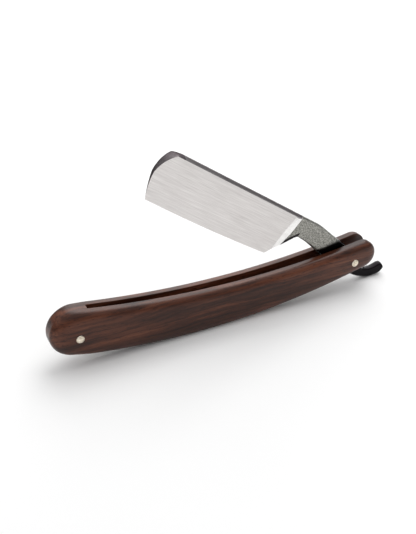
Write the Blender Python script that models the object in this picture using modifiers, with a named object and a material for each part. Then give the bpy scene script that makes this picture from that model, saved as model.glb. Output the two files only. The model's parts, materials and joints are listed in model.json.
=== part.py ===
"""Straight razor with wooden scales, standing half open on its handle.

Everything is laid out from the pivot pin: +X runs out over the tail, -X runs along the handle
to the wedge, and the blade turns about Y. In the blade's own side view a point is (reach, rise):
reach runs from the pivot towards the toe, and rise runs from the edge side to the spine side.
"""

import math

import bmesh
import bpy
from mathutils import Matrix, Vector

MM = 0.001

# Fits
GAP = 0.25 * MM  # left between pieces that touch
SIDES = 20  # flats on a turned piece

# Handle, seen from the side
PIN_SPAN = 137.0 * MM  # pivot pin to wedge pin
HANDLE_BOW = 6.2 * MM  # how far the middle of the handle dips below its ends
CENTRE_RISE = 0.95 * MM  # the handle's centre line above the pins
PIVOT_HALF_HEIGHT = 7.3 * MM
MIDDLE_HALF_HEIGHT = 9.9 * MM
WEDGE_HALF_HEIGHT = 10.7 * MM
TIP_REACH = 5.8 * MM  # pivot pin to the centre of the round tip
NOSE_REACH = 1.3 * MM  # wedge pin to the centre of the round nose
STATIONS = 30  # along the handle
ARC_STEPS = 12  # round each end

# Handle, seen from above
SCALE_THICKNESS = 5.2 * MM
SLOT_AT_PIVOT = 5.6 * MM
SLOT_AT_WEDGE = 2.8 * MM
EDGE_ROUND_ACROSS = 4.4 * MM  # outer edges: width of the rounding on the face
EDGE_ROUND_DEEP = 3.4 * MM  # and its depth through the thickness
NOSE_ROUND_ACROSS = 6.0 * MM
NOSE_ROUND_DEEP = 4.1 * MM
NOSE_BLEND = 16.0 * MM  # length over which the edges swell into the nose
MOST_ROUND_DEEP = 0.92  # largest rounding, as a share of the scale's thickness
WEDGE_LENGTH = 3.8 * MM  # from the wedge pin back to the end of the slot

# Pins, collars and washers
PIN_RADIUS = 0.9 * MM
HEAD_LIP = 0.4 * MM  # how far a head stands out round its rod
HEAD_HEIGHT = 0.3 * MM
COLLAR_RADIUS = 1.8 * MM
COLLAR_THICKNESS = 0.35 * MM
COLLAR_EDGE = 0.2 * MM  # width of the collar's rounded outer edge
WASHER_RADIUS = 3.6 * MM
WASHER_THICKNESS = 0.4 * MM

# Blade, seen from the side
REST_ANGLE = math.radians(35.1)  # blade above the handle's pin line
TOE_CLEARANCE = 14.4 * MM  # between the toe and the wedge when the blade is folded
TOE_REACH = PIN_SPAN - WEDGE_LENGTH - TOE_CLEARANCE
TOE_LEAN = 3.6 * MM  # how far the edge corner stands back from the toe
TOE_BULGE = 0.6 * MM  # swell of the toe between its round corner and the edge
# The round corner, as (reach, rise) in millimetres from the toe's end and the spine's top
TOE_CORNER = [(0, -10.8), (-0.4, -8.3), (-1.5, -5.2), (-3.3, -2.4), (-5.4, -0.6), (-8.6, 0)]
HEEL_REACH = 46.0 * MM  # pivot to the heel end of the edge
FACE_LEAN = 2.9 * MM  # how far the ground face runs on past the heel of the edge
SPINE_RISE = 7.8 * MM
EDGE_DROP = 15.2 * MM
EDGE_SMILE = 0.6 * MM  # extra depth of the edge at mid length
HEEL_SLANT = 11.0 * MM  # from the heel of the edge back to the corner with the shank
SHANK_DROP = 1.8 * MM
CORNER_EASE = 0.8 * MM  # rounding of the hollow corner between heel and shank
SHANK_STEP = 8.0 * MM  # from that corner to where the shank's curves begin
SHANK_TAPER = 0.1 * MM  # how far the spine has dropped there
HEEL_BULGE = Vector((0.5, -0.8)) * MM  # swell of the heel's outline between edge and shank
HEEL_ROUND = 0.8 * MM  # small flat that breaks the heel's corner with the edge
HEEL_FACE = 0.28  # share of the heel's outline that bounds the ground face
HEEL_BEVEL = 0.52  # and the share where the bevel after it ends
TOE_FAN = 0.16  # share of the edge that the sections fanning round the toe end on
HEEL_FAN = 1.8 * MM  # length of spine that the sections turning up the heel end on
TOE_STEPS = 7
CORNER_STEPS = 3  # between two points of the toe's corner
FACE_STEPS = 10
HEEL_STEPS = 3  # on the ground face, and again on the shank
FLANK_ROWS = (0, 0.06, 0.16, 0.28, 0.42, 0.57, 0.72, 0.86, 0.95, 1)  # from edge to crown
CROWN_ROWS = (0.5, 0.8, 1)  # and over the crown

# Blade, thickness
SPINE_HALF = 3.2 * MM
SPINE_CROWN = 1.15 * MM  # height of the spine's rounded back
HOLLOW = 0.7 * MM  # depth of the hollow grind below a flat wedge
SHANK_SWELL = 0.25 * MM  # how much thicker half the shank is than half the tang at the pivot
TAIL_THINNING = 0.15 * MM
HEEL_RIM_HALF = 0.12 * MM  # where the ground face turns up the heel
HEEL_EDGE_HALF = 0.35 * MM
BEVEL_WIDTH = 4.4 * MM  # shoulder between the ground face and the shank
SPINE_FLAT = 0.6  # half width of the spine's flat back, as a share of the thickness
TANG_FLAT = 0.7  # the same for the shank, the tang and the tail
THINNING_REACH = 20.0 * MM  # from the pivot to where the tail is thinnest

# Tang and tail, as (reach, rise) in millimetres from the shank to the tail's tip
TANG_TOP = [(14.5, 6.1), (4, 4.6), (-7, 0.9), (-13.8, -1.6), (-18.6, 0.6), (-21.8, 4.2)]
TANG_UNDER = [(17, -4.5), (6, -6.2), (-5, -6.9), (-13, -6.6), (-20, -4.4), (-24.6, -1.15)]
TAIL_TIP = [((-25.9, 0.8), (-23.2, 5.1)), ((-25.9, 2.7), (-24.7, 4.6))]

WOOD = ("dark_rosewood", (0.055, 0.022, 0.014), 0.38, 0.0)
STEEL = ("ground_steel", (0.62, 0.60, 0.59), 0.3, 1.0)
NICKEL_SILVER = ("nickel_silver", (0.62, 0.55, 0.45), 0.25, 1.0)
BRASS = ("brass", (0.60, 0.42, 0.20), 0.35, 1.0)


def clear_scene():
    for obj in list(bpy.data.objects):
        bpy.data.objects.remove(obj, do_unlink=True)


def new_collection(name):
    collection = bpy.data.collections.new(name)
    bpy.context.scene.collection.children.link(collection)
    return collection


def new_material(finish):
    name, colour, roughness, metallic = finish
    material = bpy.data.materials.new(name)
    material.use_nodes = True
    shader = material.node_tree.nodes["Principled BSDF"]
    shader.inputs["Base Color"].default_value = (*colour, 1.0)
    shader.inputs["Roughness"].default_value = roughness
    shader.inputs["Metallic"].default_value = metallic
    return material


def add_object(name, bm, collection, material=None, sharp_angle=35):
    """Makes an object from a bmesh, with its faces turned outwards and its round parts smooth."""
    bmesh.ops.recalc_face_normals(bm, faces=bm.faces)
    mesh = bpy.data.meshes.new(name)
    bm.to_mesh(mesh)
    bm.free()
    mesh.shade_smooth()
    mesh.set_sharp_from_angle(angle=math.radians(sharp_angle))
    obj = bpy.data.objects.new(name, mesh)
    collection.objects.link(obj)
    if material:
        mesh.materials.append(material)
    return obj


def smoothstep(t):
    t = min(max(t, 0.0), 1.0)
    return t * t * (3 - 2 * t)


def bridge(bm, ring, other):
    """Joins two closed rings of vertices with a band of quads."""
    count = len(ring)
    for i in range(count):
        j = (i + 1) % count
        bm.faces.new((ring[i], ring[j], other[j], other[i]))


# The handle's side outline


def centre_rise(x):
    """Height of the handle's centre line, a shallow bow between the two pins."""
    t = (2 * x + PIN_SPAN) / PIN_SPAN
    return CENTRE_RISE - HANDLE_BOW * (1 - t * t)


def half_height(x):
    """Half of the handle's height, through its values at the pivot, the middle and the wedge."""
    t = -x / PIN_SPAN
    pivot, middle, wedge = PIVOT_HALF_HEIGHT, MIDDLE_HALF_HEIGHT, WEDGE_HALF_HEIGHT
    return pivot * (1 - t) * (1 - 2 * t) + middle * 4 * t * (1 - t) + wedge * t * (2 * t - 1)


def rim_point(x, angle):
    """A point on the outline at an angle from the handle's upward normal, turning towards the nose."""
    slope = math.atan2(4 * HANDLE_BOW * (2 * x + PIN_SPAN), PIN_SPAN * PIN_SPAN)
    turn = angle + slope + math.pi / 2
    outward = Vector((math.cos(turn), math.sin(turn)))
    return Vector((x, centre_rise(x))) + outward * half_height(x), outward


def handle_outline(start, end, round_start=True):
    """Points and outward directions round the handle from one centre to another, top side first."""
    along = [start + (end - start) * i / STATIONS for i in range(STATIONS + 1)]
    turns = [math.pi * i / ARC_STEPS for i in range(1, ARC_STEPS)]
    rim = [rim_point(x, 0) for x in along]
    rim += [rim_point(end, turn) for turn in turns]
    rim += [rim_point(x, math.pi) for x in reversed(along)]
    if round_start:
        rim += [rim_point(start, math.pi + turn) for turn in turns]
    return rim


# The handle's pieces


def half_slot(x):
    """Half of the slot's width, which opens from the wedge to the pivot."""
    t = -x / PIN_SPAN
    return (SLOT_AT_PIVOT * (1 - t) + SLOT_AT_WEDGE * t) / 2


def scale_splay():
    """The angle that each scale makes with the middle plane."""
    return math.atan2((SLOT_AT_PIVOT - SLOT_AT_WEDGE) / 2, PIN_SPAN)


def edge_rounding(x):
    """Width and depth of the outer edge's rounding, which swells towards the nose."""
    swell = smoothstep((-PIN_SPAN + NOSE_BLEND / 2 - x) / NOSE_BLEND)
    across = EDGE_ROUND_ACROSS + (NOSE_ROUND_ACROSS - EDGE_ROUND_ACROSS) * swell
    deep = EDGE_ROUND_DEEP + (NOSE_ROUND_DEEP - EDGE_ROUND_DEEP) * swell
    return across, min(deep, SCALE_THICKNESS * MOST_ROUND_DEEP)


def scale(name, side, collection, material):
    """One wooden side: a flat inner face at y = 0, and an outer face with rounded edges."""
    bm = bmesh.new()
    rim = handle_outline(TIP_REACH, -PIN_SPAN - NOSE_REACH)
    rings = [[bm.verts.new((point.x, 0, point.y)) for point, _ in rim]]
    steps = 5
    for step in range(steps + 1):
        angle = math.pi / 2 * step / steps
        ring = []
        for point, outward in rim:
            across, deep = edge_rounding(point.x)
            inset = point - outward * across * (1 - math.cos(angle))
            depth = SCALE_THICKNESS - deep * (1 - math.sin(angle))
            ring.append(bm.verts.new((inset.x, side * depth, inset.y)))
        rings.append(ring)
    for ring, other in zip(rings, rings[1:]):
        bridge(bm, ring, other)
    bm.faces.new(rings[0])
    bm.faces.new(rings[-1])
    obj = add_object(name, bm, collection, material)
    obj.location.y = side * SLOT_AT_PIVOT / 2
    obj.rotation_euler.z = side * scale_splay()
    return obj


def wedge(collection, material):
    """The spacer at the nose, square where the slot ends and tapered with the scales."""
    bm = bmesh.new()
    rim = handle_outline(-PIN_SPAN + WEDGE_LENGTH, -PIN_SPAN - NOSE_REACH, round_start=False)
    rings = []
    for side in (-1, 1):
        ring = []
        for point, _ in rim:
            ring.append(bm.verts.new((point.x, side * (half_slot(point.x) - GAP), point.y)))
        bm.faces.new(ring)
        rings.append(ring)
    bridge(bm, *rings)
    return add_object("wedge", bm, collection, material)


# Turned pieces


def turned(name, profile, collection, material=None):
    """A profile of (radius, height) turned about the Y axis, closed on the axis or on itself."""
    bm = bmesh.new()
    closed = profile[0][0] > 0
    verts = [bm.verts.new((radius, 0, height)) for radius, height in profile]
    for start, end in zip(verts, verts[1:]):
        bm.edges.new((start, end))
    if closed:
        bm.edges.new((verts[-1], verts[0]))
    obj = add_object(name, bm, collection, material)
    screw = obj.modifiers.new("turn", "SCREW")
    screw.steps = SIDES
    screw.render_steps = SIDES
    screw.use_merge_vertices = True
    screw.merge_threshold = 0.00001
    screw.use_smooth_shade = False
    obj.rotation_euler.x = -math.pi / 2
    return obj


def pin_profile(half_length):
    """A rod with a peened head at each end, listed from its top to its bottom."""
    top = half_length + HEAD_HEIGHT
    head = PIN_RADIUS + HEAD_LIP
    dome = [
        (0, top),
        (head * 0.55, top - HEAD_HEIGHT * 0.12),
        (head * 0.9, top - HEAD_HEIGHT * 0.45),
        (head, half_length),
        (PIN_RADIUS, half_length),
    ]
    return dome + [(radius, -height) for radius, height in reversed(dome)]


def collar_profile(base):
    """A low ring with a rounded outer edge, sitting on the height of its base."""
    hole = PIN_RADIUS + GAP
    top = base + COLLAR_THICKNESS
    return [
        (hole, top),
        (COLLAR_RADIUS - COLLAR_EDGE, top),
        (COLLAR_RADIUS, top - COLLAR_EDGE),
        (COLLAR_RADIUS, base),
        (hole, base),
    ]


def washer_profile(base):
    hole = PIN_RADIUS + GAP
    top = base + WASHER_THICKNESS
    return [(hole, top), (WASHER_RADIUS, top), (WASHER_RADIUS, base), (hole, base)]


def outer_face(x):
    """Distance from the middle plane to the outside of a scale."""
    return half_slot(x) + SCALE_THICKNESS / math.cos(scale_splay())


def fasteners(pin_name, x, collection, material):
    """A pin with a collar under each of its heads."""
    seat = outer_face(x) + GAP
    pin = turned(pin_name + "_pin", pin_profile(seat + COLLAR_THICKNESS + GAP), collection, material)
    pin.location.x = x
    pieces = [pin]
    for label, side in (("front", -1), ("rear", 1)):
        collar = turned(f"{pin_name}_collar_{label}", collar_profile(seat), collection, material)
        collar.location.x = x
        collar.rotation_euler.x *= side
        pieces.append(collar)
    return pieces


# The blade


def spline_points(keys, steps):
    """Points on a smooth curve through the keys, a number of steps from each to the next."""
    ends = [keys[0] * 2 - keys[1], *keys, keys[-1] * 2 - keys[-2]]
    points = []
    for before, start, end, after in zip(ends, ends[1:], ends[2:], ends[3:]):
        for step in range(steps):
            t = step / steps
            points.append(
                start
                + (end - before) * 0.5 * t
                + (before - start * 2.5 + end * 2 - after * 0.5) * t * t
                + (start * 1.5 - before * 0.5 - end * 1.5 + after * 0.5) * t * t * t
            )
    return points + [keys[-1]]


def edge_point(t):
    """A point on the cutting edge, from the toe at 0 to the heel at 1."""
    toe = TOE_REACH - TOE_LEAN
    reach = toe + (HEEL_REACH - toe) * t
    return Vector((reach, -EDGE_DROP - EDGE_SMILE * 4 * t * (1 - t)))


def toe_sections():
    """Pairs of edge and rim points that fan round the toe."""
    corner = edge_point(0)
    round_corner = [Vector((TOE_REACH, SPINE_RISE)) + Vector(key) * MM for key in TOE_CORNER]
    shoulder = round_corner[0]
    bulge = Vector((TOE_BULGE, 0))
    rim = []
    for i in range(1, TOE_STEPS + 1):
        t = i / TOE_STEPS
        rim.append(corner + (shoulder - corner) * t + bulge * 4 * t * (1 - t))
    rim += spline_points(round_corner, CORNER_STEPS)[1:]
    return [(edge_point(TOE_FAN * i / len(rim)), point) for i, point in enumerate(rim)]


def blade_sections():
    """Each section as its lower point, its upper point and its stretch of the blade."""
    sections = [(lower, upper, "ground") for lower, upper in toe_sections()]
    spine_start = sections[-1][1].x
    face_end = HEEL_REACH - FACE_LEAN
    fan_start = face_end + HEEL_FAN
    for i in range(1, FACE_STEPS + 1):
        t = i / FACE_STEPS
        upper = Vector((spine_start + (fan_start - spine_start) * t, SPINE_RISE))
        sections.append((edge_point(TOE_FAN + (1 - TOE_FAN) * t), upper, "ground"))

    # Up the heel: the ground face, then one flat step that is the bevel, then the shank
    corner = Vector((HEEL_REACH - HEEL_SLANT, -SHANK_DROP))
    start = edge_point(1) + Vector((-HEEL_ROUND, HEEL_ROUND))
    stop = corner + Vector((2 * CORNER_EASE, -CORNER_EASE))
    for i in range(HEEL_STEPS + 1):
        t = HEEL_FACE * i / HEEL_STEPS
        point = start.lerp(stop, t) + HEEL_BULGE * 4 * t * (1 - t)
        reach = fan_start - HEEL_FAN * (i + 1) / (HEEL_STEPS + 1)
        sections.append((point, Vector((reach, SPINE_RISE)), "heel"))
    lower = []
    for i in range(HEEL_STEPS + 1):
        t = HEEL_BEVEL + (1 - HEEL_BEVEL) * i / HEEL_STEPS
        lower.append(start.lerp(stop, t) + HEEL_BULGE * 4 * t * (1 - t))
    lower += [corner + Vector((0.75, -0.2)) * CORNER_EASE, corner - Vector((CORNER_EASE, 0))]
    shank_start = face_end - BEVEL_WIDTH
    shank_end = corner.x - SHANK_STEP / 2
    for i, point in enumerate(lower):
        reach = shank_start + (shank_end - shank_start) * i / (len(lower) - 1)
        sections.append((point, Vector((reach, SPINE_RISE)), "shank"))

    top_start = Vector((shank_end - 0.75 * SHANK_STEP, SPINE_RISE - SHANK_TAPER))
    under_start = corner - Vector((SHANK_STEP, 7 * SHANK_TAPER))
    tops = spline_points([top_start] + [Vector(key) * MM for key in TANG_TOP], 4)
    unders = spline_points([under_start] + [Vector(key) * MM for key in TANG_UNDER], 4)
    sections += [(under, top, "tang") for under, top in zip(unders, tops)]
    sections += [(Vector(under) * MM, Vector(top) * MM, "tang") for under, top in TAIL_TIP]
    return sections


def hollow_half(rise):
    """Half thickness of the hollow-ground part at a height."""
    t = (rise + EDGE_DROP) / (SPINE_RISE - SPINE_CROWN + EDGE_DROP)
    t = min(max(t, 0.02), 1.0)
    return SPINE_HALF * t - 4 * HOLLOW * t * (1 - t)


def tang_half(reach):
    """Half thickness of the shank, the tang and the tail, which fits between the washers at the pivot."""
    tang = SLOT_AT_PIVOT / 2 - WASHER_THICKNESS - 2 * GAP
    if reach > 0:
        return tang + SHANK_SWELL * smoothstep(reach / (HEEL_REACH - HEEL_SLANT))
    return tang - TAIL_THINNING * smoothstep(-reach / THINNING_REACH)


def rows_across():
    """Fractions of a section from its lower to its upper point, and where its crown starts."""
    crown = 1 - SPINE_CROWN / (SPINE_RISE + EDGE_DROP)
    over = [crown + (1 - crown) * row for row in CROWN_ROWS]
    return [crown * row for row in FLANK_ROWS] + over, crown


def half_thickness(point, across, crown, stretch):
    """Half thickness at a point of a section, whose fraction across runs from edge to spine."""
    ground = stretch in ("ground", "heel")
    flat = SPINE_FLAT if ground else TANG_FLAT
    over = max(0.0, across - crown) / (1 - crown)
    left = math.sqrt(1 - (1 - flat * flat) * over * over)
    if stretch == "ground" and across == 0:
        return 0.0
    if ground:
        return max(hollow_half(point.y), HEEL_RIM_HALF if stretch == "heel" else 0.0) * left
    full = tang_half(point.x)
    if stretch == "shank":
        t = min(max((point.y + EDGE_DROP) / (EDGE_DROP - SHANK_DROP), 0.0), 1.0)
        full = HEEL_EDGE_HALF + (full - HEEL_EDGE_HALF) * t
    return full * (flat if across == 0 else left)


def blade(collection, material):
    """Two mirrored faces lofted from edge to spine, closed round their rim."""
    rows, crown = rows_across()
    bm = bmesh.new()
    front, back = [], []
    for lower, upper, stretch in blade_sections():
        near, far = [], []
        for across in rows:
            point = lower.lerp(upper, across)
            half = half_thickness(point, across, crown, stretch)
            near.append(bm.verts.new((-point.x, -half, point.y)))
            far.append(near[-1] if half == 0 else bm.verts.new((-point.x, half, point.y)))
        front.append(near)
        back.append(far)

    def face(*verts):
        unique = list(dict.fromkeys(verts))
        if len(unique) > 2:
            bm.faces.new(unique)

    for side in (front, back):
        for one, other in zip(side, side[1:]):
            for i in range(len(rows) - 1):
                face(one[i], one[i + 1], other[i + 1], other[i])
    for i in range(len(front) - 1):
        face(front[i][0], front[i + 1][0], back[i + 1][0], back[i][0])
        face(front[i][-1], front[i + 1][-1], back[i + 1][-1], back[i][-1])
    for end in (0, -1):
        for i in range(len(rows) - 1):
            face(front[end][i], front[end][i + 1], back[end][i + 1], back[end][i])
    return add_object("blade", bm, collection, material)


# Holes


def pin_hole(x, collection):
    """A cutter for the hole that a pin passes through."""
    bm = bmesh.new()
    bmesh.ops.create_cone(
        bm,
        cap_ends=True,
        segments=SIDES,
        radius1=PIN_RADIUS + GAP,
        radius2=PIN_RADIUS + GAP,
        depth=outer_face(x) * 3,
        matrix=Matrix.Rotation(math.pi / 2, 4, "X"),
    )
    cutter = add_object("hole_for_pin", bm, collection)
    cutter.location.x = x
    cutter.hide_render = True
    cutter.display_type = "WIRE"
    return cutter


def drill(obj, cutter):
    modifier = obj.modifiers.new("pin_hole", "BOOLEAN")
    modifier.operation = "DIFFERENCE"
    modifier.solver = "EXACT"
    modifier.object = cutter


def world_bounds(objects):
    """Lowest and highest corners of the evaluated objects."""
    graph = bpy.context.evaluated_depsgraph_get()
    points = []
    for obj in objects:
        shape = obj.evaluated_get(graph)
        points += [shape.matrix_world @ vert.co for vert in shape.data.vertices]
    return Vector(map(min, zip(*points))), Vector(map(max, zip(*points)))


def main():
    clear_scene()
    parts = new_collection("straight_razor")
    cutters = new_collection("cutters")
    wood = new_material(WOOD)
    steel = new_material(STEEL)
    nickel_silver = new_material(NICKEL_SILVER)
    brass = new_material(BRASS)

    pivot_hole = pin_hole(0, cutters)
    wedge_hole = pin_hole(-PIN_SPAN, cutters)
    handle = [scale("front_scale", -1, parts, wood), scale("rear_scale", 1, parts, wood)]
    for side in handle:
        drill(side, pivot_hole)
        drill(side, wedge_hole)
    spacer = wedge(parts, wood)
    drill(spacer, wedge_hole)
    handle.append(spacer)

    handle += fasteners("pivot", 0, parts, nickel_silver)
    handle += fasteners("wedge", -PIN_SPAN, parts, nickel_silver)
    for label, side in (("front", -1), ("rear", 1)):
        base = half_slot(0) - GAP - WASHER_THICKNESS
        washer = turned(f"pivot_washer_{label}", washer_profile(base), parts, brass)
        washer.rotation_euler.x *= side
        handle.append(washer)

    razor_blade = blade(parts, steel)
    drill(razor_blade, pivot_hole)

    # The blade hangs on an empty on the pivot's axis, and everything hangs on the handle's empty.
    root = bpy.data.objects.new("handle_frame", None)
    hinge = bpy.data.objects.new("blade_pivot", None)
    parts.objects.link(root)
    parts.objects.link(hinge)
    hinge.parent = root
    hinge.rotation_euler.y = REST_ANGLE
    razor_blade.parent = hinge
    for obj in [*handle, pivot_hole, wedge_hole]:
        obj.parent = root

    bpy.context.view_layer.update()
    low, high = world_bounds([*handle, razor_blade])
    root.location = (-(low.x + high.x) / 2, -(low.y + high.y) / 2, -low.z)
    bpy.context.view_layer.update()


main()
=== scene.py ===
"""Straight razor, half open: a hollow-ground blade between two rosewood scales.

Every piece is laid out from the pivot pin and then put where the frame has that pin. -X runs along
the handle to the wedge and +X out over the tail. In the blade's own side view a point is (reach,
rise): reach runs from the pivot towards the toe, and rise from the edge side to the spine side.
"""

import json
import math

import bmesh
import bpy
from mathutils import Matrix, Vector


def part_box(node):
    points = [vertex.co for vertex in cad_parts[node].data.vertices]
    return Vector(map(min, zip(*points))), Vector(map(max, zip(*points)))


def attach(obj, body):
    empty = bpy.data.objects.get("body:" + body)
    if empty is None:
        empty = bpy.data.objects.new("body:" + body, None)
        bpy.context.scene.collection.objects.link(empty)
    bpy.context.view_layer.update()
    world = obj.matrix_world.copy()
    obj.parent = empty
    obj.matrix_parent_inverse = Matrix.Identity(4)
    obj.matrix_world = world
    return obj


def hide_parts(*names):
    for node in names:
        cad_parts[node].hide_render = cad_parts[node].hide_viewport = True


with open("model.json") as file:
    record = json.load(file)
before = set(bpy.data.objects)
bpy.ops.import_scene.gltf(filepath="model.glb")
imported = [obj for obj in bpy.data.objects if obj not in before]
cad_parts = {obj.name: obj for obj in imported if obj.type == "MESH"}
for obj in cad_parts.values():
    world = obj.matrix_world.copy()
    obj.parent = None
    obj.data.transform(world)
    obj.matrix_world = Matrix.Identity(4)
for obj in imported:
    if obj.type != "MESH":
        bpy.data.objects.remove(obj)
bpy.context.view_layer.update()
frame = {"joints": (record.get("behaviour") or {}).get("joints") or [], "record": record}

MM = 0.001
SKIN = 0.05 * MM  # the wood stays this far inside the frame's outline
WELD = 0.0002 * MM  # points closer than this are one

# Places, from the frame
hinge = frame["joints"][0]
PIVOT = Vector(hinge["pos_m"])
spine_up = frame["record"]["mounts"][0]["axis"]
REST_ANGLE = math.atan2(spine_up[0], spine_up[2])
wedge_pin_low, wedge_pin_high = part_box("wedge_pin")
PIN_SPAN = PIVOT.x - (wedge_pin_low.x + wedge_pin_high.x) / 2
HANDLE_PLACE = Matrix.Translation(PIVOT)
BLADE_PLACE = HANDLE_PLACE @ Matrix.Rotation(REST_ANGLE, 4, "Y")
BLADE_COORDINATES = {"Location": PIVOT, "Rotation": (0.0, REST_ANGLE, 0.0)}

# Handle
HANDLE_BOW = 6.2 * MM
CENTRE_RISE = 0.95 * MM
PIVOT_HALF_HEIGHT = 7.3 * MM
MIDDLE_HALF_HEIGHT = 9.9 * MM
WEDGE_HALF_HEIGHT = 10.7 * MM
TIP_REACH = 5.8 * MM
NOSE_REACH = 1.3 * MM
SCALE_THICKNESS = 5.2 * MM
SLOT_AT_PIVOT = 5.6 * MM
SLOT_AT_WEDGE = 2.8 * MM
WEDGE_LENGTH = 3.8 * MM
RIM_ROUND = 3.0 * MM  # depth of the rounding from the rim to the outer face
NOSE_ROUND = 4.5 * MM
NOSE_BLEND = 16.0 * MM
FACE_FULLNESS = 3.3  # higher is a flatter outer face with a tighter rim
NOSE_FULLNESS = 2.6
ARRIS = 0.15 * MM  # broken edge along the slot
ARRIS_BOW = 0.35  # its depth halfway, as a share of its depth at the rim
ARRIS_LOSS = 0.9  # share of it that is gone where the scales close on the wedge
ARRIS_FADE_START = 3.0 * MM
ARRIS_FADE = 4.0 * MM
INNER_SHARES = (0, 0.5, 0.9)  # points on the inner face, as shares of the half height
STATIONS = 132
ARC_STEPS = 28
ROUND_STEPS = 20

# Pins, collars and washers
PIN_RADIUS = 0.9 * MM
GAP = 0.25 * MM  # round the pin, in what turns on it
SNUG = 0.02 * MM  # round the pin, in what it holds
HEAD_RADIUS = 1.15 * MM
HEAD_HEIGHT = 0.34 * MM
HEAD_UNDERCUT = 0.06 * MM
HEAD_LAP = 0.1 * MM  # how far the head laps over the collar
HEAD_STEPS = 8
COLLAR_RADIUS = 1.8 * MM
COLLAR_RIM = 0.12 * MM  # heights above the wood
COLLAR_CREST = 0.42 * MM
COLLAR_BED = 0.05 * MM  # how far the collar sinks into the wood
COLLAR_PLAY = 0.04 * MM
COLLAR_FULLNESS = 2.4
COLLAR_STEPS = 6
WASHER_RADIUS = 3.6 * MM
WASHER_THICKNESS = 0.4 * MM
WASHER_PLAY = 0.05 * MM
TURNED_SIDES = 56
DRILL_LENGTH = 8 * SCALE_THICKNESS  # well past both outer faces

# Blade, from the side
TOE_REACH = 118.8 * MM
TOE_LEAN = 3.6 * MM
TOE_BULGE = 0.6 * MM
# The round corner of the toe, as (reach, rise) in millimetres from its end and the spine's top
TOE_CORNER = [(0, -10.8), (-0.4, -8.3), (-1.5, -5.2), (-3.3, -2.42), (-5.4, -0.62), (-8.6, 0)]
TOE_FAN = 0.16  # share of the edge that the sections fanning round the toe end on
HEEL_REACH = 46.0 * MM
FACE_END = 43.1 * MM
HEEL_FAN = 1.8 * MM  # length of spine that the sections fanning up the heel end on
HEEL_FAN_STEP = 0.1  # share of it that the first of them takes
SPINE_RISE = 7.8 * MM
EDGE_DROP = 15.2 * MM
EDGE_SMILE = 0.6 * MM
SHANK_REACH = 35.0 * MM
SHANK_DROP = 1.8 * MM
HEEL_START = Vector((-0.8, 0.8)) * MM  # from the end of the edge
HEEL_STOP = Vector((1.9, -1.4)) * MM  # from the shank's corner
HEEL_BULGE = Vector((0.5, -0.8)) * MM
HEEL_FACE = 0.28  # share of the heel's outline that bounds the ground face
HEEL_BEVEL = 0.52  # and the share where the bevel after it ends
BEVEL_WIDTH = 4.4 * MM
BEVEL_DIP = 1.1 * MM  # how far the bevel's upper end rounds down
SHANK_CORNER = [(1.0, -0.55), (0.1, -0.12), (-1.2, -0.02)]  # from the shank's corner, in millimetres
SHANK_SETBACK = 4.0 * MM  # from that corner back to where the tang's own outline takes over
# The tang's upper and lower outlines and the tail's tip, as (reach, rise) in millimetres
TANG_TOP = [(25, 7.7), (14.5, 6.1), (4, 4.6), (-7, 0.9), (-13.8, -1.6), (-18.6, 0.6), (-21.8, 4.2)]
TANG_UNDER = [(27, -2.5), (17, -4.5), (6, -6.2), (-5, -6.88), (-13, -6.57), (-20, -4.4), (-24.5, -1.1)]
TAIL_TIP = [((-25.5, 0.4), (-22.9, 5.0)), ((-25.75, 1.5), (-23.9, 4.8)), ((-25.8, 2.8), (-24.9, 4.3))]

# Blade, thickness
SPINE_HALF = 3.2 * MM
SPINE_CROWN = 1.15 * MM
TOE_EASE = 0.3 * MM  # rounding where the face meets the end of the toe
HOLLOW = 0.7 * MM
SHANK_HALF = 2.15 * MM
TANG_HALF = 1.9 * MM
TAIL_HALF = 1.75 * MM
HEEL_RIM_HALF = 0.1 * MM
HEEL_EDGE_HALF = 0.35 * MM
TANG_CROWN = 0.8 * MM
TAIL_TAPER = 20.0 * MM
LOWEST_CROWN_SHARE = 0.2  # a section's lower rim rounds over this much of its length at most
EDGE_SHARE = 0.012  # below this share of the face's height it gets no thinner
EDGE_ROW, EDGE_BAND = 0.02 * MM, 0.04 * MM  # where the first rows up from the edge lie
LEAST_UPRIGHT = 0.1  # a section that lies flatter is rounded as if it were this upright
STRIP_ROWS = 11  # rows of the black strip, counted up from the heel's lower rim
STRIP_END = SHANK_REACH + 0.6 * MM
RIM_STEPS = 6
BODY_STEPS = 22
TOE_STEPS = 18
CORNER_STEPS = 7
FACE_STEPS = 60
TANG_STEPS = 7
SHANK_CORNER_STEPS = 4
# Shares of the way up the heel's face, bevel and shank. The narrow steps keep the creases crisp.
HEEL_FACE_SHARES = (0, 0.2, 0.4, 0.6, 0.8, 0.96, 1)
BEVEL_SHARES = (0.04, 0.2, 0.4, 0.6, 0.8, 0.96, 1)
SHANK_SHARES = (0, 0.02, 0.15, 0.3, 0.45, 0.6, 0.8, 1)

# The blade's finishes, in the order of its material slots
FACE, SPINE, TANG, BEVEL, STRIP, TOE = range(6)


def linear(code):
    """An sRGB hex colour as linear red, green, blue and alpha."""
    parts = [int(code[i : i + 2], 16) / 255 for i in (1, 3, 5)]
    return tuple(c / 12.92 if c <= 0.04045 else ((c + 0.055) / 1.055) ** 2.4 for c in parts) + (1.0,)


def connect(tree, node, inputs):
    """Gives a node's inputs their values, or links them to the outputs that feed them."""
    for name, value in inputs.items():
        if isinstance(value, bpy.types.NodeSocket):
            tree.links.new(value, node.inputs[name])
        else:
            node.inputs[name].default_value = value


def add(tree, kind, inputs=None, stops=None, **settings):
    """Adds a node with its settings, the values or links of its inputs, and its ramp's stops."""
    node = tree.nodes.new("ShaderNode" + kind)
    for name, value in settings.items():
        setattr(node, name, value)
    connect(tree, node, inputs or {})
    if stops:
        ramp = node.color_ramp.elements
        while len(ramp) < len(stops):
            ramp.new(0.5)
        for element, (place, code) in zip(ramp, stops):
            element.position = place
            element.color = linear(code)
    return node


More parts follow.
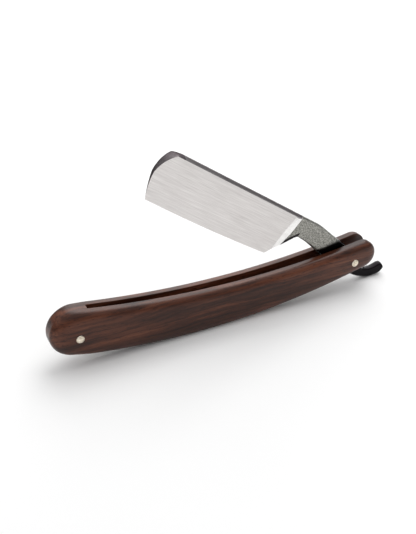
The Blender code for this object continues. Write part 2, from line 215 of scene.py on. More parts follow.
def new_finish(name):
    """An empty material: its tree, and its Principled shader."""
    material = bpy.data.materials.new(name)
    material.use_nodes = True
    tree = material.node_tree
    return material, tree, tree.nodes["Principled BSDF"]


def per_mm(*sizes):
    """Noise scale along each axis for features of these sizes in millimetres."""
    return tuple(1 / (size * MM) for size in sizes)


def along_blade(tree):
    """Coordinates that run from the pivot towards the tail along X and up to the spine along Z."""
    place = add(tree, "TexCoord").outputs["Object"]
    turned_place = add(tree, "Mapping", {"Vector": place, **BLADE_COORDINATES}, vector_type="TEXTURE")
    return turned_place.outputs["Vector"]


def rosewood():
    """Rosewood, sawn along the grain, sanded and oiled: a brown ground with dark ink lines that run
    the length of the scale, fine open pores, and a low satin sheen."""
    material, tree, shader = new_finish("oiled_rosewood")
    place = add(tree, "TexCoord").outputs["Object"]
    # The grain sways a few millimetres over each 28 mm, so that its lines aren't ruled.
    sway = add(tree, "TexNoise", {"Vector": place, "Scale": 1 / (28 * MM), "Detail": 2.0})
    sway_by = (0.0, 2.5 * MM, 3.2 * MM)
    grain = add(
        tree, "VectorMath", {0: sway.outputs["Color"], 1: sway_by, 2: place}, operation="MULTIPLY_ADD"
    ).outputs["Vector"]
    # Broad figure, 75 mm long and about 7 mm wide
    figure_place = add(tree, "VectorMath", {0: grain, 1: per_mm(75, 7, 6)}, operation="MULTIPLY")
    figure = add(
        tree,
        "TexNoise",
        {"Vector": figure_place.outputs["Vector"], "Scale": 1.0, "Detail": 3.0, "Roughness": 0.55},
    )
    # Ink lines, 32 mm long and 1.1 to 1.5 mm apart
    line_place = add(tree, "VectorMath", {0: grain, 1: per_mm(32, 1.5, 1.1)}, operation="MULTIPLY")
    lines = add(
        tree,
        "TexNoise",
        {
            "Vector": line_place.outputs["Vector"],
            "Scale": 1.0,
            "Detail": 4.0,
            "Roughness": 0.6,
            "Distortion": 0.2,
        },
    )
    # Pores, dashes 0.3 mm wide and 3 mm long, drawn a little coarser than they are so that they show
    pore_place = add(tree, "VectorMath", {0: grain, 1: per_mm(3.2, 0.32, 0.32)}, operation="MULTIPLY")
    pores = add(tree, "TexNoise", {"Vector": pore_place.outputs["Vector"], "Scale": 1.0, "Detail": 1.0})
    pore_mask = add(
        tree,
        "MapRange",
        {"Value": pores.outputs["Fac"], "From Min": 0.60, "From Max": 0.70, "To Max": 0.75},
    )
    ground = add(
        tree,
        "ValToRGB",
        {"Fac": figure.outputs["Fac"]},
        stops=[(0.30, "#2c160e"), (0.46, "#4b291b"), (0.58, "#653a28"), (0.72, "#7b4b36")],
    )
    ink = add(
        tree,
        "ValToRGB",
        {"Fac": lines.outputs["Fac"]},
        stops=[(0.34, "#7a6a64"), (0.50, "#dcd2cc"), (0.66, "#ffffff")],
    )
    inked = add(
        tree,
        "Mix",
        {"Factor": 0.85, 6: ground.outputs["Color"], 7: ink.outputs["Color"]},
        data_type="RGBA",
        blend_type="MULTIPLY",
    )
    pored = add(
        tree,
        "Mix",
        {"Factor": pore_mask.outputs["Result"], 6: inked.outputs[2], 7: linear("#1c0d09")},
        data_type="RGBA",
    )
    # The dense ink lines take less polish than the ground between them.
    sheen = add(
        tree,
        "MapRange",
        {"Value": lines.outputs["Fac"], "From Min": 0.3, "From Max": 0.7, "To Min": 0.36, "To Max": 0.27},
    )
    relief = add(
        tree,
        "Bump",
        {"Strength": 0.25, "Distance": 0.05 * MM, "Height": pore_mask.outputs["Result"]},
        invert=True,
    )
    look = {
        "Base Color": pored.outputs[2],
        "Roughness": sheen.outputs["Result"],
        "IOR": 1.37,
        "Normal": relief.outputs["Normal"],
    }
    connect(tree, shader, look)
    return material


def ground_steel():
    """Carbon steel, hollow ground on a wheel and polished lengthwise: bright and satin, with fine
    scratches that run from the heel to the toe."""
    material, tree, shader = new_finish("ground_carbon_steel")
    place = along_blade(tree)
    # Scratches, 14 mm long and 0.35 mm apart, drawn coarser than they are so that they show
    scratch_place = add(tree, "VectorMath", {0: place, 1: per_mm(14, 2.0, 0.35)}, operation="MULTIPLY")
    scratches = add(
        tree,
        "TexNoise",
        {"Vector": scratch_place.outputs["Vector"], "Scale": 1.0, "Detail": 5.0, "Roughness": 0.7},
    )
    tone = add(
        tree,
        "ValToRGB",
        {"Fac": scratches.outputs["Fac"]},
        stops=[(0.30, "#c9c5c3"), (0.50, "#d8d4d2"), (0.70, "#e6e3e1")],
    )
    # Handling has dulled it here and there, in clouds 9 mm across.
    cloud = add(tree, "TexNoise", {"Vector": place, "Scale": 1 / (9 * MM), "Detail": 2.0})
    gloss = add(
        tree,
        "MapRange",
        {"Value": cloud.outputs["Fac"], "From Min": 0.3, "From Max": 0.7, "To Min": 0.30, "To Max": 0.40},
    )
    relief = add(
        tree, "Bump", {"Strength": 0.35, "Distance": 0.02 * MM, "Height": scratches.outputs["Fac"]}
    )
    look = {
        "Base Color": tone.outputs["Color"],
        "Metallic": 1.0,
        "Roughness": gloss.outputs["Result"],
        "Normal": relief.outputs["Normal"],
    }
    connect(tree, shader, look)
    return material


def forged_steel():
    """Carbon steel as forged and hardened, then only buffed: satin grey with a fine speckle on the
    tang, and painted shade from the line where the handle begins out to the tail: a glossy near black
    that stands in for the scales' shadow on the tang and the dark that the tail reflects."""
    material, tree, shader = new_finish("buffed_steel_painted_shade")
    place = along_blade(tree)
    # Speckle 0.55 mm across
    speckle = add(
        tree, "TexNoise", {"Vector": place, "Scale": 1 / (0.55 * MM), "Detail": 3.0, "Roughness": 0.65}
    )
    tone = add(
        tree,
        "ValToRGB",
        {"Fac": speckle.outputs["Fac"]},
        stops=[(0.38, "#62615d"), (0.50, "#8a8983"), (0.62, "#b3b2ab")],
    )
    # Painted shade: the steel goes near black along a line that lies across the tang at 45 degrees, as
    # the handle's top does, and stays so out to the tail.
    along = add(tree, "SeparateXYZ", {"Vector": place})
    from_line = add(tree, "Math", {0: along.outputs["X"], 1: along.outputs["Z"]}, operation="SUBTRACT")
    painted_shade_mask = add(
        tree,
        "MapRange",
        {"Value": from_line.outputs["Value"], "From Min": -18.5 * MM, "From Max": -15.5 * MM},
        interpolation_type="SMOOTHSTEP",
    )
    painted_shade_tone = add(
        tree,
        "Mix",
        {"Factor": painted_shade_mask.outputs["Result"], 6: tone.outputs["Color"], 7: linear("#1a181a")},
        data_type="RGBA",
    )
    gloss = add(
        tree,
        "MapRange",
        {"Value": painted_shade_mask.outputs["Result"], "To Min": 0.36, "To Max": 0.22},
    )
    relief = add(tree, "Bump", {"Strength": 0.3, "Distance": 0.03 * MM, "Height": speckle.outputs["Fac"]})
    look = {
        "Base Color": painted_shade_tone.outputs[2],
        "Metallic": 1.0,
        "Roughness": gloss.outputs["Result"],
        "Normal": relief.outputs["Normal"],
    }
    connect(tree, shader, look)
    return material


def black_steel():
    """The strip behind the bevel that neither stone nor wheel reached, coloured near black as a painted
    dark reflection along the heel's lower rim.
    """
    material, tree, shader = new_finish("strip_steel_painted_reflection")
    # Mottle 0.8 mm across
    mottle = add(tree, "TexNoise", {"Vector": along_blade(tree), "Scale": 1 / (0.8 * MM), "Detail": 3.0})
    tone = add(
        tree, "ValToRGB", {"Fac": mottle.outputs["Fac"]}, stops=[(0.35, "#1d1b1c"), (0.65, "#3a3738")]
    )
    connect(tree, shader, {"Base Color": tone.outputs["Color"], "Metallic": 1.0, "Roughness": 0.4})
    return material


def bevel_steel():
    """The shoulder behind the ground face, polished by hand: glossier than the face and unstreaked, with
    a painted highlight, its colour brighter than the face's to stand in for the bright reflection on it.
    """
    material, tree, shader = new_finish("bevel_steel_painted_highlight")
    # Haze 2 mm across
    haze = add(tree, "TexNoise", {"Vector": along_blade(tree), "Scale": 1 / (2 * MM), "Detail": 2.0})
    tone = add(
        tree, "ValToRGB", {"Fac": haze.outputs["Fac"]}, stops=[(0.35, "#e9e7e5"), (0.65, "#f3f2f0")]
    )
    connect(tree, shader, {"Base Color": tone.outputs["Color"], "Metallic": 1.0, "Roughness": 0.2})
    return material


def spine_steel():
    """The back of the blade, buffed smooth but never ground: an even, darker satin grey with faint
    marks that run lengthwise."""
    material, tree, shader = new_finish("buffed_spine_steel")
    # Buffing marks, 9 mm long and 0.6 mm wide
    mark_place = add(
        tree, "VectorMath", {0: along_blade(tree), 1: per_mm(9, 0.6, 0.6)}, operation="MULTIPLY"
    )
    marks = add(tree, "TexNoise", {"Vector": mark_place.outputs["Vector"], "Scale": 1.0, "Detail": 3.0})
    tone = add(
        tree, "ValToRGB", {"Fac": marks.outputs["Fac"]}, stops=[(0.35, "#8e8a8b"), (0.65, "#a19d9e")]
    )
    look = {
        "Base Color": tone.outputs["Color"],
        "Metallic": 1.0,
        "Specular Tint": linear("#9c989a"),
        "Roughness": 0.33,
    }
    connect(tree, shader, look)
    return material


def toe_steel():
    """The end of the toe, shaped on a coarse wheel: an even, unpolished deep grey with painted shade,
    coloured darker than the rest of the steel for the shade that falls on this end.
    """
    material, tree, shader = new_finish("toe_steel_painted_shade")
    # Wheel grit 0.7 mm across, drawn coarser than it is so that it shows
    grit = add(tree, "TexNoise", {"Vector": along_blade(tree), "Scale": 1 / (0.7 * MM), "Detail": 3.0})
    tone = add(
        tree, "ValToRGB", {"Fac": grit.outputs["Fac"]}, stops=[(0.35, "#625d5f"), (0.65, "#726d6f")]
    )
    look = {
        "Base Color": tone.outputs["Color"],
        "Metallic": 1.0,
        "Specular Tint": linear("#6e6a6c"),
        "Roughness": 0.42,
    }
    connect(tree, shader, look)
    return material


def nickel_silver():
    """Nickel silver, turned and peened: pale and a little yellow, with fine wear."""
    material, tree, shader = new_finish("turned_nickel_silver")
    place = add(tree, "TexCoord").outputs["Object"]
    # Wear 0.6 mm across
    wear = add(tree, "TexNoise", {"Vector": place, "Scale": 1 / (0.6 * MM), "Detail": 3.0})
    tone = add(
        tree, "ValToRGB", {"Fac": wear.outputs["Fac"]}, stops=[(0.35, "#d5c8b2"), (0.65, "#f6eddc")]
    )
    connect(tree, shader, {"Base Color": tone.outputs["Color"], "Metallic": 1.0, "Roughness": 0.28})
    return material


def brass():
    """Brass, stamped from sheet: yellow and dulled by handling."""
    material, tree, shader = new_finish("stamped_brass")
    place = add(tree, "TexCoord").outputs["Object"]
    # Tarnish 1.5 mm across
    tarnish = add(tree, "TexNoise", {"Vector": place, "Scale": 1 / (1.5 * MM), "Detail": 3.0})
    tone = add(
        tree, "ValToRGB", {"Fac": tarnish.outputs["Fac"]}, stops=[(0.35, "#8a6a35"), (0.65, "#c29a55")]
    )
    connect(tree, shader, {"Base Color": tone.outputs["Color"], "Metallic": 1.0, "Roughness": 0.35})
    return material


def smoothstep(t):
    """Eases from 0 to 1 as t does, and stays level outside that."""
    t = min(max(t, 0.0), 1.0)
    return t * t * (3 - 2 * t)


def new_piece(name, bm, materials, place, sharp_angle=32):
    """Makes an object from a bmesh that is laid out from the pivot, and puts it in place."""
    bm.transform(place)
    bmesh.ops.remove_doubles(bm, verts=bm.verts, dist=WELD)
    bmesh.ops.recalc_face_normals(bm, faces=bm.faces)
    mesh = bpy.data.meshes.new(name)
    bm.to_mesh(mesh)
    bm.free()
    mesh.shade_smooth()
    mesh.set_sharp_from_angle(angle=math.radians(sharp_angle))
    for material in materials:
        mesh.materials.append(material)
    piece = bpy.data.objects.new(name, mesh)
    bpy.context.scene.collection.objects.link(piece)
    return piece


def bridge(bm, ring, other, closed=True):
    """Joins two rings of vertices with a band of quads, and returns the faces."""
    count = len(ring)
    faces = []
    for i in range(count if closed else count - 1):
        j = (i + 1) % count
        faces.append(bm.faces.new((ring[i], ring[j], other[j], other[i])))
    return faces


def drilled(piece, x, radius):
    """Cuts a round hole across the piece at a reach along the handle."""
    bm = bmesh.new()
    bmesh.ops.create_cone(
        bm,
        cap_ends=True,
        segments=TURNED_SIDES,
        radius1=radius,
        radius2=radius,
        depth=DRILL_LENGTH,
        matrix=Matrix.Rotation(math.pi / 2, 4, "X"),
    )
    mesh = bpy.data.meshes.new("drill")
    bm.to_mesh(mesh)
    bm.free()
    drill = bpy.data.objects.new("drill", mesh)
    bpy.context.scene.collection.objects.link(drill)
    drill.location = PIVOT + Vector((x, 0, 0))
    hole = piece.modifiers.new("hole", "BOOLEAN")
    hole.operation = "DIFFERENCE"
    hole.solver = "EXACT"
    hole.object = drill
    bpy.context.view_layer.update()
    graph = bpy.context.evaluated_depsgraph_get()
    cut = bpy.data.meshes.new_from_object(piece.evaluated_get(graph))
    piece.modifiers.clear()
    piece.data = cut
    bpy.data.objects.remove(drill)


# The handle


def centre_rise(x):
    """Height of the handle's bowed centre line above the pivot."""
    t = (2 * x + PIN_SPAN) / PIN_SPAN
    return CENTRE_RISE - HANDLE_BOW * (1 - t * t)


def half_height(x):
    """Half the handle's height at x, on a parabola through its values at the pivot, middle and wedge."""
    t = -x / PIN_SPAN
    pivot, middle, wedge = PIVOT_HALF_HEIGHT, MIDDLE_HALF_HEIGHT, WEDGE_HALF_HEIGHT
    return pivot * (1 - t) * (1 - 2 * t) + middle * 4 * t * (1 - t) + wedge * t * (2 * t - 1) - SKIN


def spoke(x, angle):
    """The centre at x, and the vector from it to the outline at an angle from the upward normal."""
    slope = math.atan2(4 * HANDLE_BOW * (2 * x + PIN_SPAN), PIN_SPAN * PIN_SPAN)
    turn = angle + slope + math.pi / 2
    return Vector((x, centre_rise(x))), Vector((math.cos(turn), math.sin(turn))) * half_height(x)


def handle_spokes(start, end, round_start=True):
    """Spokes right round the handle's outline, or round all but the start."""
    along = [start + (end - start) * i / STATIONS for i in range(STATIONS + 1)]
    turns = [math.pi * i / ARC_STEPS for i in range(1, ARC_STEPS)]
    spokes = [spoke(x, 0) for x in along]
    spokes += [spoke(end, turn) for turn in turns]
    spokes += [spoke(x, math.pi) for x in reversed(along)]
    if round_start:
        spokes += [spoke(start, math.pi + turn) for turn in turns]
    return spokes


def half_slot(x):
    """Half the width of the slot between the scales."""
    t = -x / PIN_SPAN
    return (SLOT_AT_PIVOT * (1 - t) + SLOT_AT_WEDGE * t) / 2


def scale_profile(x):
    """Across a scale at x, from the middle of its inner face to the middle of its outer face: the
    share of the half height, and the depth from the inner face."""
    swell = smoothstep((-PIN_SPAN + NOSE_BLEND / 2 - x) / NOSE_BLEND)
    deep = RIM_ROUND + (NOSE_ROUND - RIM_ROUND) * swell
    fullness = FACE_FULLNESS + (NOSE_FULLNESS - FACE_FULLNESS) * swell
    fade = smoothstep((-PIN_SPAN + WEDGE_LENGTH + ARRIS_FADE_START - x) / ARRIS_FADE)
    arris = ARRIS * (1 - ARRIS_LOSS * fade)
    inset = 1 - arris / half_height(x)
    flat = SCALE_THICKNESS - deep
    profile = [(share, 0) for share in INNER_SHARES]
    profile += [(inset, 0), ((1 + inset) / 2, arris * ARRIS_BOW), (1, arris)]
    profile.append((1, arris + (flat - arris) / 2))
    for i in range(ROUND_STEPS + 1):
        angle = math.pi / 2 * i / ROUND_STEPS
        profile.append((max(math.cos(angle), 0.0) ** (2 / fullness), flat + deep * math.sin(angle)))
    profile[-1] = (0, SCALE_THICKNESS)
    return profile


def scale(name, side, material):
    """One wooden side, splayed about the wedge as the frame's is."""
    splay = math.atan2((SLOT_AT_PIVOT - SLOT_AT_WEDGE) / 2, PIN_SPAN)
    bm = bmesh.new()
    columns = []
    for centre, reach in handle_spokes(TIP_REACH, -PIN_SPAN - NOSE_REACH):
        column = []
        for share, depth in scale_profile(centre.x + reach.x):
            x, z = centre + reach * share
            along = x * math.cos(splay) - depth * math.sin(splay)
            across = x * math.sin(splay) + depth * math.cos(splay) + SLOT_AT_PIVOT / 2
            column.append(bm.verts.new((along, side * across, z)))
        columns.append(column)
    for i, column in enumerate(columns):
        bridge(bm, column, columns[(i + 1) % len(columns)], closed=False)
    return new_piece(name, bm, [material], HANDLE_PLACE)


def wedge(material):
    """The spacer at the nose, flush with the scales all round."""
    bm = bmesh.new()
    spokes = handle_spokes(-PIN_SPAN + WEDGE_LENGTH, -PIN_SPAN - NOSE_REACH, round_start=False)
    rings = []
    for side in (-1, 1):
        points = [centre + reach for centre, reach in spokes]
        rings.append([bm.verts.new((x, side * half_slot(x), z)) for x, z in points])
        bm.faces.new(rings[-1])
    bridge(bm, *rings)
    return new_piece("rosewood_wedge", bm, [material], HANDLE_PLACE)


# Turned pieces


def turned(name, profile, x, side, material):
    """A closed profile of (radius, distance from the middle plane) turned about a pin's axis."""
    bm = bmesh.new()
    rings = []
    for i in range(TURNED_SIDES):
        angle = 2 * math.pi * i / TURNED_SIDES
        ring = []
        for radius, out in profile:
            point = (x + radius * math.cos(angle), side * out, radius * math.sin(angle))
            ring.append(bm.verts.new(point))
        rings.append(ring)
    closed = profile[0][0] > 0
    for i, ring in enumerate(rings):
        bridge(bm, ring, rings[(i + 1) % TURNED_SIDES], closed=closed)
    return new_piece(name, bm, [material], HANDLE_PLACE, sharp_angle=50)


def fasteners(label, x, material):
    """A peened pin through the handle, and the domed collar under each of its heads."""
    face = half_slot(x) + SCALE_THICKNESS
    seat, rim, crest = face - COLLAR_BED, face + COLLAR_RIM, face + COLLAR_CREST
    head = [(0, crest + HEAD_HEIGHT)]
    for i in range(1, HEAD_STEPS + 1):
        angle = math.pi / 2 * i / HEAD_STEPS
        head.append((HEAD_RADIUS * math.sin(angle), crest + HEAD_HEIGHT * math.cos(angle)))
    head.append((PIN_RADIUS, crest - HEAD_UNDERCUT))
    pin = turned(f"{label}_pin_peened", head + [(r, -out) for r, out in reversed(head)], x, 1, material)
    pieces = [(pin, f"{label}_pin")]
    bore, top = PIN_RADIUS + COLLAR_PLAY, HEAD_RADIUS - HEAD_LAP
    dome = [(bore, seat), (bore, crest - HEAD_LAP)]
    for i in range(COLLAR_STEPS + 1):
        t = i / COLLAR_STEPS
        dome.append((top + (COLLAR_RADIUS - top) * t, rim + (crest - rim) * (1 - t**COLLAR_FULLNESS)))
    dome.append((COLLAR_RADIUS, seat))
    for name, side in (("front", -1), ("rear", 1)):
        collar = turned(f"{label}_collar_{name}_domed", dome, x, side, material)
        pieces.append((collar, f"{label}_collar_{name}"))
    return pieces


def washer(name, side, material):
    """A thin washer between the tang and a scale, with its outer edge rounded."""
    hole = PIN_RADIUS + GAP
    inner = half_slot(0) - WASHER_PLAY - WASHER_THICKNESS
    outer = inner + WASHER_THICKNESS
    ease = WASHER_THICKNESS / 4
    profile = [
        (hole, inner),
        (WASHER_RADIUS - ease, inner),
        (WASHER_RADIUS, inner + ease),
        (WASHER_RADIUS, outer - ease),
        (WASHER_RADIUS - ease, outer),
        (hole, outer),
    ]
    return turned(name, profile, 0, side, material)


# The blade


def spline_points(keys, steps):
    """Points on a smooth curve through the keys, a number of steps from each to the next."""
    ends = [keys[0] * 2 - keys[1], *keys, keys[-1] * 2 - keys[-2]]
    points = []
    for before, start, end, after in zip(ends, ends[1:], ends[2:], ends[3:]):
        for step in range(steps):
            t = step / steps
            points.append(
                start
                + (end - before) * 0.5 * t
                + (before - start * 2.5 + end * 2 - after * 0.5) * t * t
                + (start * 1.5 - before * 0.5 - end * 1.5 + after * 0.5) * t * t * t
            )
    return points + [keys[-1]]


def edge_point(t):
    """A point on the slightly bowed edge, from the toe at 0 to the heel at 1."""
    toe = TOE_REACH - TOE_LEAN
    reach = toe + (HEEL_REACH - toe) * t
    return Vector((reach, -EDGE_DROP - EDGE_SMILE * 4 * t * (1 - t)))


def heel_outline(t):
    """A point up the heel's outline, from the edge at 0 to the corner with the shank at 1."""
    start = edge_point(1) + HEEL_START
    stop = Vector((SHANK_REACH, -SHANK_DROP)) + HEEL_STOP
    return start.lerp(stop, t) + HEEL_BULGE * 4 * t * (1 - t)


def blade_sections():
    """Lower point, upper point and how far each section belongs to the ground face, toe to tail."""
    edge_start = edge_point(0)
    round_corner = [Vector((TOE_REACH, SPINE_RISE)) + Vector(key) * MM for key in TOE_CORNER]
    rim = []
    for i in range(1, TOE_STEPS + 1):
        t = i / TOE_STEPS
        rim.append(edge_start.lerp(round_corner[0], t) + Vector((TOE_BULGE, 0)) * 4 * t * (1 - t))
    rim += spline_points(round_corner, CORNER_STEPS)[1:]
    sections = [(edge_point(TOE_FAN * i / len(rim)), point, 1.0) for i, point in enumerate(rim)]
    spine_start, fan_start = rim[-1].x, FACE_END + HEEL_FAN
    for i in range(1, FACE_STEPS + 1):
        t = i / FACE_STEPS
        upper = Vector((spine_start + (fan_start - spine_start) * t, SPINE_RISE))
        sections.append((edge_point(TOE_FAN + (1 - TOE_FAN) * t), upper, 1.0))

    # Up the heel: the ground face, the bevel, then the unground shank
    for t in HEEL_FACE_SHARES:
        fan = HEEL_FAN_STEP + (1 - HEEL_FAN_STEP) * t
        upper = Vector((fan_start - HEEL_FAN * fan, SPINE_RISE))
        sections.append((heel_outline(HEEL_FACE * t), upper, 1.0))
    for t in BEVEL_SHARES:
        lower = heel_outline(HEEL_FACE + (HEEL_BEVEL - HEEL_FACE) * t)
        sections.append((lower, Vector((FACE_END - BEVEL_WIDTH * t, SPINE_RISE)), 1 - t))
    outline = [heel_outline(HEEL_BEVEL + (1 - HEEL_BEVEL) * t) for t in SHANK_SHARES]
    corner = Vector((SHANK_REACH, -SHANK_DROP))
    keys = [outline[-1]] + [corner + Vector(key) * MM for key in SHANK_CORNER]
    outline += spline_points(keys, SHANK_CORNER_STEPS)[1:]
    first, last = FACE_END - BEVEL_WIDTH, SHANK_REACH - SHANK_SETBACK
    for i, point in enumerate(outline[1:]):
        t = (i + 1) / (len(outline) - 1)
        sections.append((point, Vector((first + (last - first) * t, SPINE_RISE)), 0.0))

    top_keys = [Vector((last, SPINE_RISE))] + [Vector(key) * MM for key in TANG_TOP]
    under_keys = [outline[-1]] + [Vector(key) * MM for key in TANG_UNDER]
    tops, unders = spline_points(top_keys, TANG_STEPS), spline_points(under_keys, TANG_STEPS)
    sections += [(under, top, 0.0) for under, top in zip(unders[1:], tops[1:])]
    sections += [(Vector(under) * MM, Vector(top) * MM, 0.0) for under, top in TAIL_TIP]
    return sections


def ground_half(rise):
    """Half thickness of the hollow-ground face at a rise."""
    t = (rise + EDGE_DROP) / (SPINE_RISE - SPINE_CROWN + EDGE_DROP)
    t = min(max(t, EDGE_SHARE), 1.0)
    return SPINE_HALF * t - 4 * HOLLOW * t * (1 - t)


def shank_half(point):
    """Half thickness of the unground steel: the tail, the tang, and the shank down to the heel."""
    if point.x < 0:
        return TANG_HALF + (TAIL_HALF - TANG_HALF) * smoothstep(-point.x / TAIL_TAPER)
    full = TANG_HALF + (SHANK_HALF - TANG_HALF) * smoothstep(point.x / SHANK_REACH)
    t = min(max((point.y + EDGE_DROP) / (EDGE_DROP - SHANK_DROP), 0.0), 1.0)
    return HEEL_EDGE_HALF + (full - HEEL_EDGE_HALF) * t


def blade_rows():
    """Rows from the lower rim to the upper, as (part, amount). The amount is an angle on the roundings
    at the two rims, and a share of the way between them on the body."""
    angles = [math.pi / 2 * i / RIM_STEPS for i in range(RIM_STEPS)]
    rows = [("lower", angle) for angle in angles]
    rows += [("body", i / BODY_STEPS) for i in range(BODY_STEPS + 1)]
    rows += [("upper", angle) for angle in reversed(angles)]
    return rows


def section_points(lower, upper, ground):
    """(point, half thickness) across a section, with its rims rounded."""
    length = (upper - lower).length
    along = (upper - lower) / length
    dip = BEVEL_DIP * smoothstep((FACE_END + HEEL_FAN - upper.x) / (HEEL_FAN + BEVEL_WIDTH)) * ground
    spine_crown = max(TOE_EASE, (upper.y - SPINE_RISE + SPINE_CROWN) / max(along.y, LEAST_UPRIGHT))
    crown_up = spine_crown + dip if ground > 0 else TANG_CROWN
    crown_low = TANG_CROWN * (1 - ground) if ground < 1 else 0.0
    crown_low = min(crown_low, length * LOWEST_CROWN_SHARE)
    found = []
    for kind, amount in blade_rows():
        if kind == "lower":
            distance = crown_low * (1 - math.cos(amount)) if crown_low else EDGE_ROW * amount
            factor = math.sin(amount) if crown_low else 1.0
        elif kind == "upper":
            distance = length - crown_up * (1 - math.cos(amount))
            factor = math.sin(amount)
        else:
            start, stop = max(crown_low, EDGE_BAND), length - crown_up
            distance, factor = start + (stop - start) * amount, 1.0
        point = lower + along * distance
        half = ground_half(point.y) * ground + shank_half(point) * (1 - ground)
        # Above the heel's corner the ground face ends in a thin rim instead of the edge.
        if ground == 1 and lower.y > edge_point(1).y:
            half = max(half, HEEL_RIM_HALF)
        found.append((point, half * factor))
    found[0] = (lower, 0.0)
    return found


def blade(finishes):
    """Two mirrored faces lofted from the lower rim to the upper, section by section."""
    bm = bmesh.new()
    sections = blade_sections()
    kinds = [kind for kind, _ in blade_rows()]
    toe_bands = TOE_STEPS + CORNER_STEPS * (len(TOE_CORNER) - 1) - 1
    sides = []
    for side in (-1, 1):
        columns = []
        for lower, upper, ground in sections:
            points = section_points(lower, upper, ground)
            columns.append([bm.verts.new((-p.x, side * half, p.y)) for p, half in points])
        sides.append(columns)
        for i, (column, other) in enumerate(zip(columns, columns[1:])):
            ground, bevel, lower_end = sections[i][2] > 0, sections[i + 1][2] < 1, sections[i + 1][0]
            for j, made in enumerate(bridge(bm, column, other, closed=False)):
                if ground and "upper" in (kinds[j], kinds[j + 1]):
                    # The toe's end and the top of its corner take the toe finish, coloured dark as
                    # painted shade.
                    made.material_index = TOE if i < toe_bands else SPINE
                elif ground:
                    # The bevel's finish is coloured brighter than the face's, a painted highlight.
                    made.material_index = BEVEL if bevel else FACE
                else:
                    # The lowest rows by the heel take the near-black strip finish, a painted dark
                    # reflection.
                    made.material_index = STRIP if j < STRIP_ROWS and lower_end.x > STRIP_END else TANG
    # The end caps: the toe's takes the toe finish with its painted shade, and the tail's the tang finish,
    # painted near black there as shade.
    for end, finish in ((0, TOE), (-1, TANG)):
        for made in bridge(bm, sides[0][end], sides[1][end], closed=False):
            made.material_index = finish
    return new_piece("hollow_ground_blade", bm, finishes, BLADE_PLACE, sharp_angle=28)


# The pieces, each on its body

wood = rosewood()
# In the order of FACE, SPINE, TANG, BEVEL, STRIP and TOE
steels = [ground_steel(), spine_steel(), forged_steel(), bevel_steel(), black_steel(), toe_steel()]
nickel = nickel_silver()
washer_brass = brass()

wooden = [
    (scale("front_rosewood_scale", -1, wood), "front_scale"),
    (scale("rear_rosewood_scale", 1, wood), "rear_scale"),
    (wedge(wood), "wedge"),
]
for piece, node in wooden:
    drilled(piece, -PIN_SPAN, PIN_RADIUS + SNUG)
    if node != "wedge":
        drilled(piece, 0, PIN_RADIUS + SNUG)
    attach(piece, "handle")
    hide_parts(node)

for piece, node in fasteners("pivot", 0, nickel) + fasteners("wedge", -PIN_SPAN, nickel):
    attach(piece, "handle")
    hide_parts(node)

for name, side in (("front", -1), ("rear", 1)):
    piece = washer(f"tang_washer_{name}", side, washer_brass)
    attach(piece, "handle")
    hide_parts(f"pivot_washer_{name}")

razor_blade = blade(steels)
drilled(razor_blade, 0, PIN_RADIUS + GAP)
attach(razor_blade, "blade")
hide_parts("blade")

# The stage: a pale floor, a bright room, and two broad soft lights, one overhead and one behind

FLOOR_SIZE = 6.0
FLOOR_DROP = 0.1 * MM  # keeps the floor clear of the handle's underside
floor_mesh = bpy.data.meshes.new("floor")
bm = bmesh.new()
bmesh.ops.create_grid(bm, x_segments=1, y_segments=1, size=FLOOR_SIZE / 2)
bm.to_mesh(floor_mesh)
bm.free()
floor = bpy.data.objects.new("floor", floor_mesh)
bpy.context.scene.collection.objects.link(floor)
floor.location.z = -FLOOR_DROP
floor_paper, floor_tree, floor_shader = new_finish("pale_studio_paper")
paper_look = {"Base Color": linear("#f0f0f0"), "Roughness": 0.9, "Specular IOR Level": 0.1}
connect(floor_tree, floor_shader, paper_look)
floor_mesh.materials.append(floor_paper)

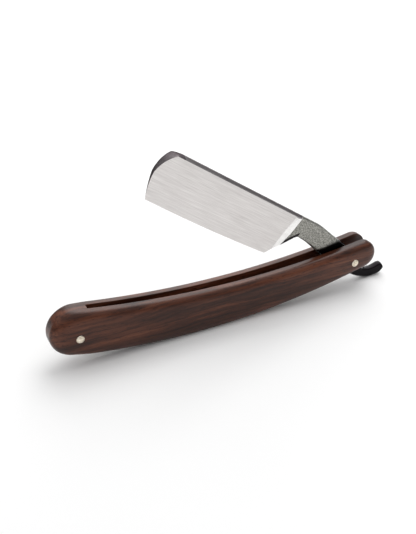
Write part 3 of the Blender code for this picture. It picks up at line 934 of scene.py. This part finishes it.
# The room is dim at the horizon and bright overhead, so that the scales' sides stay dark.
HORIZON_GLOW, OVERHEAD_GLOW = 0.16, 0.8
world = bpy.data.worlds.new("studio")
bpy.context.scene.world = world
world.use_nodes = True
sky = world.node_tree
sky_place = add(sky, "TexCoord").outputs["Generated"]
sky_height = add(sky, "SeparateXYZ", {"Vector": sky_place}).outputs["Z"]
sky_span = {"From Min": 0.15, "From Max": 0.6, "To Min": HORIZON_GLOW, "To Max": OVERHEAD_GLOW}
sky_glow = add(sky, "MapRange", {"Value": sky_height, **sky_span}, interpolation_type="SMOOTHSTEP")
sky_light = {"Color": linear("#ffffff"), "Strength": sky_glow.outputs["Result"]}
connect(sky, sky.nodes["Background"], sky_light)


def soft_light(name, place, target, size, power):
    """A round soft light of a size in metres and a power in watts."""
    light = bpy.data.lights.new(name, "AREA")
    light.shape = "DISK"
    light.size = size
    light.energy = power
    lamp = bpy.data.objects.new(name, light)
    bpy.context.scene.collection.objects.link(lamp)
    lamp.location = place
    lamp.rotation_euler = (target - place).to_track_quat("-Z", "Y").to_euler()


middle = Vector((0.0, 0.0, 0.03))
overhead = Vector((0.35, 0.2, 0.95))
behind = middle + Vector((0.46, 0.91, 0.6))
soft_light("overhead_softbox", overhead, middle, size=0.9, power=5.0)
soft_light("back_softbox", behind, middle, size=1.2, power=6.0)

# The camera

VIEW_AZIMUTH = math.radians(-26.886)
VIEW_ELEVATION = math.radians(31.5)
VIEW_DISTANCE = 351.8 * MM
FOCAL_LENGTH = 53.93
CLIP_NEAR, CLIP_FAR = 0.01, 20.0
AIM = Vector((-11.62, 0.0, 29.5)) * MM
lens = bpy.data.cameras.new("camera")
lens.lens = FOCAL_LENGTH
lens.clip_start, lens.clip_end = CLIP_NEAR, CLIP_FAR
camera = bpy.data.objects.new("camera", lens)
bpy.context.scene.collection.objects.link(camera)
level = math.cos(VIEW_ELEVATION)
east, south = math.sin(VIEW_AZIMUTH) * level, -math.cos(VIEW_AZIMUTH) * level
camera.location = AIM + Vector((east, south, math.sin(VIEW_ELEVATION))) * VIEW_DISTANCE
camera.rotation_euler = (math.pi / 2 - VIEW_ELEVATION, 0.0, VIEW_AZIMUTH)
bpy.context.scene.camera = camera
bpy.context.scene.view_settings.view_transform = "Standard"

bpy.context.view_layer.update()
